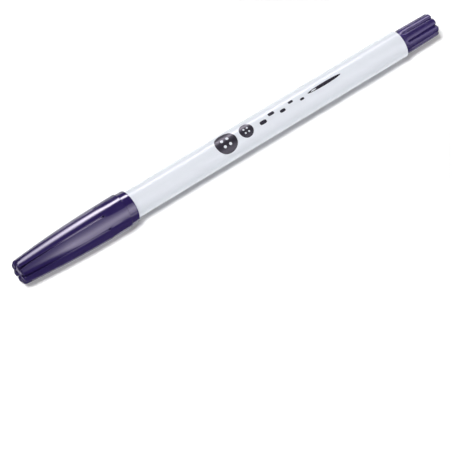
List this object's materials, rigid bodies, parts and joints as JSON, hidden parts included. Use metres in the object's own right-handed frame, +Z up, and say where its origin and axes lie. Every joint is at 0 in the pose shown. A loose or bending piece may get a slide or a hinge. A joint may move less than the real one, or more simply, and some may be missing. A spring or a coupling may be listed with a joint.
{
  "type": "fabric marker",
  "caption": "Slim capped fibre-tip fabric marker: a tapered grooved cap pulls off a straight round barrel, with a ridged tail plug and a nib fed from a fibre ink reservoir.",
  "frame": {"origin": "bottom centre of the bounding box: under the middle of the marker as it lies on a table, level with the lowest point of the cap", "axes": "+X along the marker from the cap's tip to the tail plug, +Z up as it lies, +Y across it"},
  "size_m": [0.14, 0.0102, 0.0102],
  "materials": {
    "barrel_white": "glossy white moulded polypropylene",
    "violet_plastic": "glossy dark violet moulded polypropylene",
    "nose_white": "satin white moulded plastic",
    "nib_fibre": "bonded polyester fibre, ink-stained",
    "ink_fibre": "ink-soaked polyester fibre",
    "clear_film": "thin clear film",
    "tube_plastic": "natural plastic tube",
    "liner_plastic": "soft natural polyethylene"
  },
  "bodies": {
    "pen_body": {"barrel": "barrel_white", "nib_holder": "nose_white", "nib": "nib_fibre", "reservoir_core": "ink_fibre", "reservoir_film": "clear_film", "breather_tube": "tube_plastic", "tail_plug": "violet_plastic"},
    "cap": {"cap_shell": "violet_plastic", "cap_liner": "liner_plastic"}
  },
  "joints": [
    {"name": "cap_pull", "type": "slide", "parent": "pen_body", "child": "cap", "axis": [-1, 0, 0], "range_m": [0, 0.045]}
  ]
}
